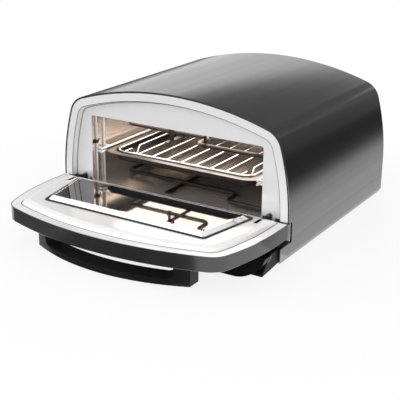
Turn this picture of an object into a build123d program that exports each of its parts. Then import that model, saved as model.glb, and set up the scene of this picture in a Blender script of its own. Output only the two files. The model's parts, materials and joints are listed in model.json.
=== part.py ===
from build123d import *
from math import asin, atan2, cos, degrees, hypot, radians, sin, sqrt, tan
import os

# Countertop pizza oven, millimetres. +X right, +Y back, +Z up.
# The floor is z = 0, and the origin lies under the middle of the whole box.
# The door lies open and level; the tray is home in the oven.

# Body outline, seen from the front: five tangent arcs over upright sides
body_width = 420.0
body_depth = 362.0
body_top = 225.0
spring_z = 61.0  # the sides stand upright below this height
side_bow_r = 387.0
shoulder_r = 36.0
crown_r = 545.0

# Sheets and plastics
sheet = 1.2
liner_sheet = 0.9
plastic = 2.5
seam = 0.3  # gap at a seam between two fixed pieces

# Skirt, base pan and feet
skirt_low = 7.0
skirt_top = 34.5
skirt_wall = 2.0
skirt_reach = 25.7  # how far its cheeks stand ahead of the frame
cheek_top = 29.0
rear_lift = 2.5
rear_lift_run = 10.0
foot_r = 10.0
foot_taper = 8.0
foot_bore_r = 4.2
foot_bore_depth = 3.0
foot_inset_x = 47.0
foot_inset_y = 77.0

# Front frame
gasket_wall = 1.5
gasket_proud = 0.4
rim_width = 13.0
recess = 9.5
recess_slope = 3.0
opening_width = 317.0
opening_low = 56.3
opening_high = 167.5
opening_corner_r = 4.0

# Cavity liner
liner_clear = 1.5
cavity_depth = 305.0

# Heating elements
tube_r = 3.4
element_bend_r = 12.0
element_jog = 40.0  # the front run steps back by this much
upper_jog_x = 31.0
lower_jog_x = 85.0
element_inset = 30.0  # from the cavity's left wall
element_front = 18.5
element_back = 38.0
upper_tube_z = 145.0
lower_tube_z = 62.0
tube_hole_clear = 0.6
bushing_r = 7.0
bushing_length = 12.0
bushing_fit = 0.05
stud_length = 16.0
stud_r = 1.6
touch = 0.1  # gap where one piece only rests against another
support_width = 8.0
support_sheet = 1.4
support_x = -20.0
support_over = 8.0
support_foot = 12.0
hanger_x = 46.7
hanger_width = 5.0
hanger_sheet = 1.2
bracket_width = 13.0
bracket_low = 144.5
bracket_high = 164.0
bracket_sheet = 1.0
bracket_leg = 5.0  # along the wall, clear of the guide's post
bulb_r = 3.0
bulb_length = 80.0
bulb_x = 40.0
bulb_z = 132.0
bulb_stand = 7.0
bulb_clip_inset = 10.0
clip_width = 6.0
clip_sheet = 0.8
clip_foot = 16.0

# Tray and rack
tray_side_clear = 6.2  # from the mouth's sides
tray_back_clear = 11.0
tray_rim_z = 107.6
tray_depth = 13.6
tray_wall = 1.0
tray_side_flange = 18.0
tray_end_flange = 11.6
tray_corner_r = 38.0
tray_well_r = 22.0
tray_taper = 12.0
tray_home = 14.5  # from the frame's face to the tray's front edge
rack_side_clear = 6.8  # from the tray's well
rack_end_clear = 4.4
rack_corner_r = 19.0
rack_frame_r = 1.9
rack_bar_r = 1.5
rack_bars = 9
rack_pitch = 27.3
rack_foot_depth = 11.8
rack_foot_run = 23.0
rack_foot_flat = 3.0
rack_foot_bend_r = 2.0
rack_foot_places = (21.0, 206.0)  # from the rack's front wire

# Wire guides on the cavity's side walls
guide_r = 2.0
guide_lap = 6.3  # how far the rails reach over the tray's edge
guide_cross_r = 1.8
guide_wall_gap = 0.2
guide_posts = (10.5, 29.7, 240.0)  # behind the frame
guide_front = 6.0
guide_back = 12.0
guide_play = 0.3
guide_post_top = 166.0
guide_clip_z = 118.0
guide_clip_length = 16.0

# Door
door_thickness = 23.0
door_wall = 1.5
hinge_drop = 15.7  # hinge axis below the open door's inner face
closed_gap = 0.8
door_tail = 13.6
door_tail_round = 3.0
door_chamfer = 1.0
panel_groove = 1.2
panel_groove_depth = 0.5
panel_fit = 0.1
panel_sheet = 1.0
plug_clear = 1.0
plug_rise = 6.0
plug_slope = 12.5
plug_knee = 3.5  # the wall is steep to here, then eases
plug_knee_rise = 4.2
plug_tail = 5.0

# Window in the door; places are heights above the floor with the door shut
window_low = 60.0
window_high = 149.0
window_low_width = 306.0
window_high_width = 272.0
window_corner_r = 5.0
window_rise = 12.6
bezel_slope = 6.0
bezel_wall = 3.0
bezel_ledge = 4.0
glass = 3.0
glass_fit = 0.2
glass_sunk = 0.4
seal_gap = 0.4
seal_width = 3.0
seal_rise = 1.6
outer_window_inset = 8.0
outer_glass_lap = 6.0

# Hinges
hinge_inset = 37.0
hinge_eye_r = 5.2
hinge_plate = 5.0
hinge_side_clear = 0.5
hinge_notch_clear = 0.7
hinge_pin_r = 2.0
hinge_pin_fit = 0.05
hinge_pin_length = 24.0
hinge_foot_width = 18.0
hinge_foot_height = 16.0
hinge_foot_sheet = 1.5
hinge_tab_top = 66.0  # a stub beside the frame that stands above the open door
hinge_tab_reach = 12.0
cheek_width = 6.0
cheek_reach = 7.0
bracket_screw_x = 6.0  # either side of the bracket's plate
bracket_screw_head_r = 2.4
bracket_screw_head = 1.1

# Handle under the door's free end
handle_half = 137.0
handle_front = 153.8  # its ends, ahead of the frame's face
handle_bow = 31.0
handle_bar = 22.0
handle_reach = 37.0
handle_slot = 27.0
handle_scoop = 5.0  # the bar's top rises by this much to the back
handle_post = 22.0
handle_edge = 2.0
handle_screw_depth = 12.0

# Control housing and fascia
housing_clear = 2.0  # inside the skirt's cheeks
housing_front = 72.0
housing_low = 2.5
fascia_lap = 2.0  # beyond the housing's sides
fascia_reach = 90.0
fascia_angle = 50.0
fascia_corner = 39.5
fascia_wall = 2.5
trim_proud = 0.8
trim_sheet = 1.0
trim_width = 6.0
knob_x = 118.0
knob_r = 13.0
knob_height = 10.0
knob_skirt_r = 14.5
knob_skirt = 2.0
knob_gap = 0.4
knob_grip = 3.0
knob_grip_width = 6.0
knob_taper = 4.0
shaft_r = 3.0
shaft_fit = 0.05
shaft_tail = 9.0
knob_roof = 2.5
control_width = 26.0
control_height = 10.0
control_depth = 7.5
control_neck_r = 5.0
lamp_r = 4.0
lamp_depth = 6.0
lamp_proud = 1.0

# Rear panel
rear_inset = 2.0
rear_flange = 16.0  # the shell's inward lip that the panel screws to
vent_length = 44.0
vent_height = 4.0
vent_rows = 4
vent_columns = 4
vent_row_pitch = 11.0
vent_column_pitch = 62.0
vent_z = 160.0
base_vent_length = 40.0
base_vent_width = 4.0
base_vents = 6
base_vent_gap = 150.0
base_vent_pitch = 14.0
gland_x = 120.0
gland_z = 48.0
gland_r = 9.0
gland_bore_r = 3.5
gland_lip = 2.0
screw_r = 3.5
screw_head = 2.0
screw_shank_r = 1.7
screw_tip = 6.0
rear_screw_low = 48.0
rear_screw_high_x = 140.0

# Places worked out from the sizes above
half_width = body_width / 2
door_reach = body_top + closed_gap + 2 * hinge_drop - spring_z  # of the open door
front_y = (door_reach - body_depth) / 2
rear_y = front_y + body_depth
middle_y = (front_y + rear_y) / 2
foot_x = half_width - foot_inset_x
foot_y = body_depth / 2 - foot_inset_y
face_y = front_y + recess  # front of the frame's recessed face
face_back = face_y + sheet
frame_edge = sheet + gasket_wall
rim_inner = frame_edge + rim_width

liner_half = opening_width / 2 + liner_clear
liner_low = opening_low - liner_clear
liner_high = opening_high + liner_clear
liner_height = liner_high - liner_low
liner_mid_z = (liner_low + liner_high) / 2
liner_back = face_back + cavity_depth

element_left = element_inset - liner_half
element_front_y = face_back + element_front
element_back_y = liner_back - element_back
element_ends = [
    (y, z) for y in (element_front_y, element_back_y) for z in (lower_tube_z, upper_tube_z)
]
tray_width = opening_width - 2 * tray_side_clear
tray_length = cavity_depth - tray_back_clear
guide_x = tray_width / 2 - guide_lap
hinge_x = half_width - hinge_inset
housing_half = half_width - skirt_wall - housing_clear
fascia_half = housing_half + fascia_lap
support_legs = [
    element_front_y + support_over,
    (element_front_y + element_back_y) / 2,
    element_back_y - support_over,
]

door_z = spring_z  # inner face of the open door
door_out_z = door_z - door_thickness
hinge_z = door_z - hinge_drop
hinge_y = front_y - closed_gap - hinge_drop
door_low = hinge_z - door_tail  # lower edge of the shut door
plug_inset = rim_inner + plug_clear
plateau_z = door_z + plug_rise
bezel_z = door_z + window_rise
notch_half = hinge_plate / 2 + hinge_side_clear
notch_high = hinge_tab_top + hinge_notch_clear
notch_depth = hinge_eye_r + hinge_notch_clear
bracket_screw_spots = [
    (side * hinge_x + step, hinge_z)
    for side in (-1, 1)
    for step in (-bracket_screw_x, bracket_screw_x)
]

tray_front = front_y + tray_home
tray_mid_y = tray_front + tray_length / 2
tray_floor_z = tray_rim_z - tray_depth
well_width = tray_width - 2 * tray_side_flange
well_length = tray_length - 2 * tray_end_flange
rack_width = well_width - 2 * rack_side_clear
rack_length = well_length - 2 * rack_end_clear
rack_front = tray_mid_y - rack_length / 2
rack_z = tray_floor_z + tray_wall + touch + rack_bar_r + rack_foot_depth

rail_low_z = tray_rim_z - tray_wall - guide_play - guide_r
rail_high_z = tray_rim_z + guide_play + guide_r
guide_post_x = liner_half - guide_wall_gap - guide_r
guide_post_ys = [face_back + step for step in guide_posts]

handle_top_z = door_out_z - handle_slot
handle_low_z = door_out_z - handle_reach
slot_half = handle_half - handle_post
post_x = handle_half - handle_post / 2
post_y = front_y - handle_front + handle_bar / 2

fascia_top = cheek_top
slope = radians(fascia_angle)
fascia_rise = fascia_top - housing_low
panel_back = rear_y - rear_inset
panel_front = panel_back - sheet
rear_screw_inset = sheet + rear_flange / 2
rear_screw_high = (
    body_top - crown_r + sqrt((crown_r - rear_screw_inset) ** 2 - rear_screw_high_x**2)
)
rear_screw_spots = [
    (side * x, z)
    for side in (-1, 1)
    for x, z in (
        (half_width - rear_screw_inset, rear_screw_low),
        (rear_screw_high_x, rear_screw_high),
    )
]


def front_plane(y):
    """Sketch plane facing the viewer; a positive extrude comes forward."""
    return Plane(origin=(0, y, 0), x_dir=(1, 0, 0), z_dir=(0, -1, 0))


def door_plane(z):
    """Plane of the open door: x across, y the height when it is shut.

    A positive extrude goes down, to the door's outer face.
    """
    return Plane(origin=(0, hinge_y + hinge_z, z), x_dir=(1, 0, 0), z_dir=(0, 0, -1))


def fascia_plane(x, out):
    """Plane over the fascia's face at x, a distance out along its normal."""
    middle = Vector(
        x,
        front_y - fascia_reach + fascia_rise / 2 / tan(slope),
        housing_low + fascia_rise / 2,
    )
    normal = Vector(0, -sin(slope), cos(slope))
    return Plane(origin=middle + normal * out, x_dir=(1, 0, 0), z_dir=normal)


def shoulder_centre():
    """Centre of the right shoulder arc, tangent inside the side and crown arcs."""
    side_x, side_z = half_width - side_bow_r, spring_z
    crown_z = body_top - crown_r
    to_side = side_bow_r - shoulder_r
    to_crown = crown_r - shoulder_r
    gap = hypot(side_x, side_z - crown_z)
    along = (to_crown**2 - to_side**2 + gap**2) / (2 * gap)
    across = sqrt(to_crown**2 - along**2)
    ux, uz = side_x / gap, (side_z - crown_z) / gap
    return along * ux + across * uz, crown_z + along * uz - across * ux


def arch_face(inset, low, mode=Mode.ADD):
    """Add the body's outline, moved in by inset and cut level at low."""
    side_x = half_width - side_bow_r
    crown_z = body_top - crown_r
    cx, cz = shoulder_centre()
    side_turn = degrees(atan2(cz - spring_z, cx - side_x))
    crown_turn = degrees(atan2(cz - crown_z, cx))
    edge = half_width - inset
    with BuildLine() as outline:
        if low < spring_z:
            Polyline((-edge, spring_z), (-edge, low), (edge, low), (edge, spring_z))
            start = 0
        else:
            start = degrees(asin((low - spring_z) / (side_bow_r - inset)))
            cut = side_x + (side_bow_r - inset) * cos(radians(start))
            Line((-cut, low), (cut, low))
        CenterArc((side_x, spring_z), side_bow_r - inset, start, side_turn - start)
        CenterArc((cx, cz), shoulder_r - inset, side_turn, crown_turn - side_turn)
        CenterArc((0, crown_z), crown_r - inset, crown_turn, 180 - 2 * crown_turn)
        CenterArc((-cx, cz), shoulder_r - inset, 180 - crown_turn, crown_turn - side_turn)
        CenterArc((-side_x, spring_z), side_bow_r - inset, 180 - side_turn, side_turn - start)
    make_face(outline.edges(), mode=mode)


def window_face(grow, mode=Mode.ADD):
    """Add the window's outline, grown by grow, with round corners."""
    lean = (window_low_width - window_high_width) / 2 / (window_high - window_low)
    low, high = window_low - grow, window_high + grow
    low_half = window_low_width / 2 + grow * (1 + lean)
    high_half = window_high_width / 2 + grow * (1 - lean)
    with BuildLine() as outline:
        FilletPolyline(
            (low_half, low), (high_half, high), (-high_half, high), (-low_half, low),
            radius=window_corner_r, close=True,
        )
    make_face(outline.edges(), mode=mode)


def sweep_wire(run, radius):
    """Add a round wire along a line that was just built."""
    with BuildSketch(Plane(origin=run.line @ 0, z_dir=run.line % 0)) as section:
        Circle(radius)
    sweep(section.sketch, path=run.line)


os.makedirs("parts", exist_ok=True)


def save(piece, name):
    piece.part.label = name
    export_step(piece.part, f"parts/{name}.step")


# Outer shell: one bent sheet over the arch, with a lip for the rear panel's screws
with BuildPart() as outer_shell:
    with BuildSketch(front_plane(rear_y)):
        arch_face(0, skirt_top + seam)
    extrude(amount=body_depth)
    with BuildSketch(front_plane(rear_y)):
        arch_face(sheet, 0)
    extrude(amount=body_depth, mode=Mode.SUBTRACT)
    # Room for the shut door's tail as it swings
    with BuildSketch(Plane.YZ):
        with Locations((front_y, skirt_top)):
            Rectangle(recess, spring_z - skirt_top, align=(Align.MIN, Align.MIN))
    extrude(amount=body_width, both=True, mode=Mode.SUBTRACT)
    with BuildSketch(front_plane(panel_front)):
        arch_face(sheet, skirt_top + seam)
        arch_face(sheet + rear_flange, skirt_low, Mode.SUBTRACT)
        with Locations(rear_screw_spots):
            Circle(screw_shank_r, mode=Mode.SUBTRACT)
    extrude(amount=sheet)
save(outer_shell, "outer_shell")

# Skirt: both sides and the back in one, with cheeks that reach forward
with BuildPart() as base_skirt:
    with BuildSketch(Plane.XY.offset(skirt_low)):
        with Locations((0, front_y - skirt_reach)):
            Rectangle(body_width, body_depth + skirt_reach, align=(Align.CENTER, Align.MIN))
            Rectangle(
                body_width - 2 * skirt_wall,
                body_depth + skirt_reach - skirt_wall,
                align=(Align.CENTER, Align.MIN),
                mode=Mode.SUBTRACT,
            )
    extrude(amount=skirt_top - skirt_low)
    # Cheeks kept below the door's swing, and the lifted rear corner
    with BuildSketch(Plane.YZ):
        with Locations((face_y, cheek_top)):
            Rectangle(recess + skirt_reach, skirt_top, align=(Align.MAX, Align.MIN))
        with BuildLine():
            Polyline(
                (rear_y, skirt_low),
                (rear_y - rear_lift_run, skirt_low),
                (rear_y, skirt_low + rear_lift),
                close=True,
            )
        make_face()
    extrude(amount=body_width, both=True, mode=Mode.SUBTRACT)
save(base_skirt, "base_skirt")

# Gasket that shows as a dark line between shell and frame
with BuildPart() as frame_gasket:
    with BuildSketch(front_plane(face_back)):
        arch_face(sheet, spring_z + seam)
    extrude(amount=recess + sheet + gasket_proud)
    with BuildSketch(front_plane(face_back)):
        arch_face(frame_edge, 0)
    extrude(amount=recess + sheet + gasket_proud, mode=Mode.SUBTRACT)
save(frame_gasket, "frame_gasket")

# Front frame: a flat rim, a sloping step and the recessed face with the opening
with BuildPart() as front_frame:
    with BuildSketch(front_plane(face_back)):
        arch_face(frame_edge, cheek_top + seam)
    extrude(amount=recess + sheet)
    with BuildSketch(Plane.YZ):
        with Locations((front_y, 0)):
            Rectangle(recess, spring_z + seam, align=(Align.MIN, Align.MIN))
    extrude(amount=body_width, both=True, mode=Mode.SUBTRACT)
    # Hollow behind the rim and the step
    with BuildSketch(front_plane(face_back)):
        arch_face(frame_edge + sheet, spring_z + 2 * sheet)
    extrude(amount=recess, mode=Mode.SUBTRACT)
    with BuildSketch(front_plane(front_y + sheet)):
        arch_face(rim_inner - sheet, spring_z + seam)
    with BuildSketch(front_plane(face_back)):
        arch_face(rim_inner + recess_slope - sheet, spring_z + seam)
    loft(ruled=True)
    with BuildSketch(front_plane(front_y)):
        arch_face(rim_inner, 0)
    with BuildSketch(front_plane(face_y)):
        arch_face(rim_inner + recess_slope, 0)
    loft(ruled=True, mode=Mode.SUBTRACT)
    # The opening, and holes for the hinge bracket screws
    with BuildSketch(front_plane(face_back)):
        with Locations((0, (opening_low + opening_high) / 2)):
            RectangleRounded(opening_width, opening_high - opening_low, opening_corner_r)
        with Locations(bracket_screw_spots):
            Circle(screw_shank_r)
    extrude(amount=recess, mode=Mode.SUBTRACT)
save(front_frame, "front_frame")

# Cavity liner: floor, sides and roof in one wrap, open at the front
with BuildPart() as cavity_liner:
    with BuildSketch(front_plane(liner_back)):
        with Locations((0, liner_mid_z)):
            Rectangle(2 * (liner_half + liner_sheet), liner_height + 2 * liner_sheet)
            Rectangle(2 * liner_half, liner_height, mode=Mode.SUBTRACT)
    extrude(amount=cavity_depth)
    # Element tubes leave through the right wall
    with BuildSketch(Plane.YZ.offset(liner_half)):
        with Locations(element_ends):
            Circle(tube_r + tube_hole_clear)
    extrude(amount=liner_sheet, mode=Mode.SUBTRACT)
save(cavity_liner, "cavity_liner")

with BuildPart() as cavity_back:
    with BuildSketch(front_plane(liner_back + liner_sheet)):
        with Locations((0, liner_mid_z)):
            Rectangle(2 * (liner_half + liner_sheet), liner_height + 2 * liner_sheet)
    extrude(amount=liner_sheet)
save(cavity_back, "cavity_back")


# Heating elements: one bent tube each, with a terminal stud at both ends
def add_element(z, jog_x):
    """Add the bent tube at height z and its two studs; its front run jogs at jog_x."""
    tube_end = liner_half + liner_sheet + bushing_length
    with BuildLine() as run:
        FilletPolyline(
            (tube_end, element_front_y, z),
            (jog_x, element_front_y, z),
            (jog_x, element_front_y + element_jog, z),
            (element_left, element_front_y + element_jog, z),
            (element_left, element_back_y, z),
            (tube_end, element_back_y, z),
            radius=element_bend_r,
        )
    sweep_wire(run, tube_r)
    with BuildSketch(Plane.YZ.offset(tube_end)) as studs:
        with Locations((element_front_y, z), (element_back_y, z)):
            Circle(stud_r)
    extrude(studs.sketch, amount=stud_length)


def add_bushings(z):
    """Add the two ceramic bushings that hold an element in the right wall."""
    with BuildSketch(Plane.YZ.offset(liner_half + liner_sheet)) as rings:
        with Locations((element_front_y, z), (element_back_y, z)):
            Circle(bushing_r)
            Circle(tube_r + bushing_fit, mode=Mode.SUBTRACT)
    extrude(rings.sketch, amount=bushing_length)


def add_support(z, wall_z):
    """Add the bar under a tube, with legs to the cavity's floor or roof."""
    bar_top = z - tube_r - touch
    bar_length = element_back_y - element_front_y + 2 * support_over
    with BuildSketch(Plane.XY.offset(bar_top - support_sheet)) as bar:
        with Locations((support_x, (element_front_y + element_back_y) / 2)):
            Rectangle(support_width, bar_length)
    extrude(bar.sketch, amount=support_sheet)
    leg_low, leg_high = sorted((bar_top - support_sheet / 2, wall_z))
    foot_z = leg_low if wall_z < z else leg_high - support_sheet
    for y in support_legs:
        with BuildSketch(Plane.XY.offset(leg_low)) as leg:
            with Locations((support_x, y)):
                Rectangle(support_width, support_sheet)
        extrude(leg.sketch, amount=leg_high - leg_low)
        with BuildSketch(Plane.XY.offset(foot_z)) as foot_plate:
            with Locations((support_x, y)):
                Rectangle(support_width, support_foot)
        extrude(foot_plate.sketch, amount=support_sheet)


with BuildPart() as upper_element:
    add_element(upper_tube_z, upper_jog_x)
save(upper_element, "upper_element")

with BuildPart() as lower_element:
    add_element(lower_tube_z, lower_jog_x)
save(lower_element, "lower_element")

with BuildPart() as upper_bushings:
    add_bushings(upper_tube_z)
save(upper_bushings, "upper_bushings")

with BuildPart() as lower_bushings:
    add_bushings(lower_tube_z)
save(lower_bushings, "lower_bushings")

with BuildPart() as upper_support:
    add_support(upper_tube_z, liner_high)
save(upper_support, "upper_support")

with BuildPart() as lower_support:
    add_support(lower_tube_z, liner_low)
save(lower_support, "lower_support")

# Hangers clasp both parts of the upper element's front run and reach up to the roof
with BuildPart() as upper_hangers:
    for x, y in ((hanger_x, element_front_y), (-hanger_x, element_front_y + element_jog)):
        with BuildSketch(Plane.YZ.offset(x - hanger_width / 2)):
            with Locations((y, upper_tube_z)):
                Circle(tube_r + touch + hanger_sheet)
                Rectangle(hanger_sheet, liner_high - upper_tube_z, align=(Align.CENTER, Align.MIN))
                Circle(tube_r + touch, mode=Mode.SUBTRACT)
        extrude(amount=hanger_width)
save(upper_hangers, "upper_hangers")

# Dark plate on the right wall, behind the upper element's front run
bracket_y = element_front_y + tube_r + touch
with BuildPart() as element_bracket:
    with BuildSketch(Plane.XY.offset(bracket_low)):
        with Locations((liner_half, bracket_y)):
            Rectangle(bracket_width, bracket_sheet, align=(Align.MAX, Align.MIN))
            Rectangle(bracket_sheet, bracket_leg, align=(Align.MAX, Align.MIN))
    extrude(amount=bracket_high - bracket_low)
save(element_bracket, "element_bracket")

# Thermostat bulb across the cavity's back wall, in two clips
bulb_y = liner_back - bulb_stand
with BuildPart() as thermostat_bulb:
    with BuildSketch(Plane.YZ.offset(bulb_x)):
        with Locations((bulb_y, bulb_z)):
            Circle(bulb_r)
    extrude(amount=bulb_length)
    fillet(thermostat_bulb.edges(), radius=bulb_r * 0.6)
save(thermostat_bulb, "thermostat_bulb")

with BuildPart() as bulb_clips:
    for x in (bulb_x + bulb_clip_inset, bulb_x + bulb_length - bulb_clip_inset - clip_width):
        with BuildSketch(Plane.YZ.offset(x)):
            with Locations((bulb_y, bulb_z)):
                Circle(bulb_r + touch + clip_sheet)
                Rectangle(bulb_stand, clip_sheet, align=(Align.MIN, Align.CENTER))
                Circle(bulb_r + touch, mode=Mode.SUBTRACT)
            with Locations((liner_back, bulb_z)):
                Rectangle(clip_sheet, clip_foot, align=(Align.MAX, Align.CENTER))
        extrude(amount=clip_width)
save(bulb_clips, "bulb_clips")


# Wire guides: two rails a side run under and over the tray's flange
def add_guide(side):
    """Add the welded wire guide on the left (-1) or right (1) wall."""
    rail_x, post_x = side * guide_x, side * guide_post_x
    for z in (rail_low_z, rail_high_z):
        with BuildSketch(front_plane(liner_back - guide_back)) as rail:
            with Locations((rail_x, z)):
                Circle(guide_r)
        extrude(rail.sketch, amount=cavity_depth - guide_back - guide_front)
        with BuildSketch(Plane.YZ.offset(min(rail_x, post_x))) as crosses:
            with Locations([(y, z) for y in guide_post_ys]):
                Circle(guide_cross_r)
        extrude(crosses.sketch, amount=abs(post_x - rail_x))
    with BuildSketch(Plane.XY.offset(liner_low)) as posts:
        with Locations([(post_x, y) for y in guide_post_ys]):
            Circle(guide_r)
    extrude(posts.sketch, amount=guide_post_top - liner_low)


with BuildPart() as guide_left:
    add_guide(-1)
save(guide_left, "guide_left")

with BuildPart() as guide_right:
    add_guide(1)
save(guide_right, "guide_right")

# Clips on the side walls hold the guides' posts
clip_r = guide_r + touch
with BuildPart() as guide_clips:
    for side in (-1, 1):
        outward = Align.MIN if side < 0 else Align.MAX
        for y in (guide_post_ys[0], guide_post_ys[-1]):
            with BuildSketch(Plane.XY.offset(guide_clip_z)):
                with Locations((side * liner_half, y)):
                    Rectangle(clip_sheet, guide_clip_length, align=(outward, Align.CENTER))
                with Locations((side * guide_post_x, y)):
                    Circle(clip_r + clip_sheet)
                    Circle(clip_r, mode=Mode.SUBTRACT)
                with Locations((side * liner_half, y)):
                    Rectangle(
                        guide_clip_length, guide_clip_length,
                        align=(Align.MAX if side < 0 else Align.MIN, Align.CENTER),
                        mode=Mode.SUBTRACT,
                    )
            extrude(amount=clip_width)
save(guide_clips, "guide_clips")

# Base pan, with slots for cooling air
with BuildPart() as base_pan:
    with BuildSketch(Plane.XY.offset(skirt_low)):
        with Locations((0, face_y)):
            Rectangle(
                body_width - 2 * (skirt_wall + seam),
                rear_y - skirt_wall - seam - face_y,
                align=(Align.CENTER, Align.MIN),
            )
        with Locations((0, middle_y)):
            with GridLocations(base_vent_gap, base_vent_pitch, 2, base_vents):
                SlotOverall(base_vent_length, base_vent_width, mode=Mode.SUBTRACT)
            with GridLocations(2 * foot_x, 2 * foot_y, 2, 2):
                Circle(screw_shank_r, mode=Mode.SUBTRACT)
    extrude(amount=sheet)
save(base_pan, "base_pan")

# Four feet with a screw up through each
foot_places = {
    "foot_front_left": (-foot_x, middle_y - foot_y),
    "foot_front_right": (foot_x, middle_y - foot_y),
    "foot_rear_left": (-foot_x, middle_y + foot_y),
    "foot_rear_right": (foot_x, middle_y + foot_y),
}
for name, place in foot_places.items():
    with BuildPart() as foot:
        with BuildSketch(Plane.XY.offset(skirt_low)):
            with Locations(place):
                Circle(foot_r)
        extrude(amount=-skirt_low, taper=foot_taper)
        with Locations(Location((*place, 0), (180, 0, 0))):
            CounterBoreHole(screw_shank_r, foot_bore_r, foot_bore_depth)
    save(foot, name)

with BuildPart() as foot_screws:
    with Locations([(*place, foot_bore_depth) for place in foot_places.values()]):
        Cylinder(screw_r, screw_head, align=(Align.CENTER, Align.CENTER, Align.MAX))
        Cylinder(
            screw_shank_r - touch, skirt_low + sheet + screw_tip - foot_bore_depth,
            align=(Align.CENTER, Align.CENTER, Align.MIN),
        )
save(foot_screws, "foot_screws")

# Rear panel, set inside the shell, with vent slots and the cord's gland hole
with BuildPart() as rear_panel:
    with BuildSketch(front_plane(panel_back)):
        arch_face(sheet + touch, skirt_top + seam)
    extrude(amount=sheet)
    with BuildSketch(front_plane(panel_back)):
        with Locations((0, vent_z)):
            with GridLocations(vent_column_pitch, vent_row_pitch, vent_columns, vent_rows):
                SlotOverall(vent_length, vent_height)
        with Locations((gland_x, gland_z)):
            Circle(gland_r)
        with Locations(rear_screw_spots):
            Circle(screw_shank_r)
    extrude(amount=sheet, mode=Mode.SUBTRACT)
save(rear_panel, "rear_panel")

with BuildPart() as cord_gland:
    with BuildSketch(front_plane(panel_back + gland_lip)):
        with Locations((gland_x, gland_z)):
            Circle(gland_r + gland_lip)
            Circle(gland_bore_r, mode=Mode.SUBTRACT)
    extrude(amount=gland_lip)
    with BuildSketch(front_plane(panel_back)):
        with Locations((gland_x, gland_z)):
            Circle(gland_r - touch)
            Circle(gland_bore_r, mode=Mode.SUBTRACT)
    extrude(amount=sheet + gland_lip)
save(cord_gland, "cord_gland")

with BuildPart() as rear_screws:
    with BuildSketch(front_plane(panel_back + screw_head)):
        with Locations(rear_screw_spots):
            Circle(screw_r)
    extrude(amount=screw_head)
    with BuildSketch(front_plane(panel_back)):
        with Locations(rear_screw_spots):
            Circle(screw_shank_r - touch)
    extrude(amount=sheet + screw_tip)
save(rear_screws, "rear_screws")


# Control housing, trim and fascia below the door
def fascia_face(inset, mode=Mode.ADD):
    """Add the fascia's outline, moved in by inset: wide, with round lower corners."""
    corner_x = fascia_half - fascia_corner
    reach, drop = fascia_corner - inset, fascia_rise - inset
    with BuildLine() as outline:
        Line((-corner_x, fascia_top - drop), (corner_x, fascia_top - drop))
        EllipticalCenterArc((corner_x, fascia_top), reach, drop, 270, arc_size=90)
        Line((corner_x + reach, fascia_top), (-corner_x - reach, fascia_top))
        EllipticalCenterArc((-corner_x, fascia_top), reach, drop, 180, arc_size=90)
    make_face(outline.edges(), mode=mode)


def slab(front, back, low, high, mode=Mode.INTERSECT):
    """Keep a slanted layer; front and back are reaches at housing_low's height."""
    with BuildSketch(Plane.YZ) as layer:
        with BuildLine():
            Polyline(
                *[
                    (front_y - reach + (z - housing_low) / tan(slope), z)
                    for reach, z in ((front, low), (front, high), (back, high), (back, low))
                ],
                close=True,
            )
        make_face()
    extrude(layer.sketch, amount=half_width, both=True, mode=mode)


with BuildPart() as control_housing:
    with BuildSketch(Plane.YZ):
        with BuildLine():
            Polyline(
                (face_y - touch, skirt_low),
                (front_y - skirt_reach, skirt_low),
                (front_y - housing_front, housing_low),
                (front_y - housing_front + fascia_rise / tan(slope), fascia_top),
                (face_y - touch, fascia_top),
                close=True,
            )
        make_face()
    extrude(amount=housing_half, both=True)
    ends = control_housing.faces().sort_by(Axis.Y)
    offset(amount=-plastic, openings=[ends[0], ends[-1]])
save(control_housing, "control_housing")

trim_reach = housing_front + trim_sheet / sin(slope)
with BuildPart() as fascia_trim:
    with BuildSketch(front_plane(front_y)):
        fascia_face(-trim_proud)
        fascia_face(trim_width, Mode.SUBTRACT)
    extrude(amount=2 * fascia_reach)
    slab(trim_reach, housing_front, 0, fascia_top)
save(fascia_trim, "fascia_trim")

wall_reach = fascia_wall / sin(slope)
with BuildPart(mode=Mode.PRIVATE) as fascia_hollow:
    with BuildSketch(front_plane(front_y)):
        fascia_face(fascia_wall)
    extrude(amount=2 * fascia_reach)
    slab(fascia_reach - wall_reach, trim_reach, housing_low, fascia_top - fascia_wall)

with BuildPart() as fascia:
    with BuildSketch(front_plane(front_y)):
        fascia_face(0)
    extrude(amount=2 * fascia_reach)
    slab(fascia_reach, trim_reach, 0, fascia_top)
    add(fascia_hollow.part, mode=Mode.SUBTRACT)
    for x, neck_r in ((-knob_x, control_neck_r), (knob_x, control_neck_r), (0, lamp_r)):
        with BuildSketch(fascia_plane(x, 0)):
            Circle(neck_r + touch)
        extrude(amount=-fascia_wall, mode=Mode.SUBTRACT)
save(fascia, "fascia")

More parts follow.
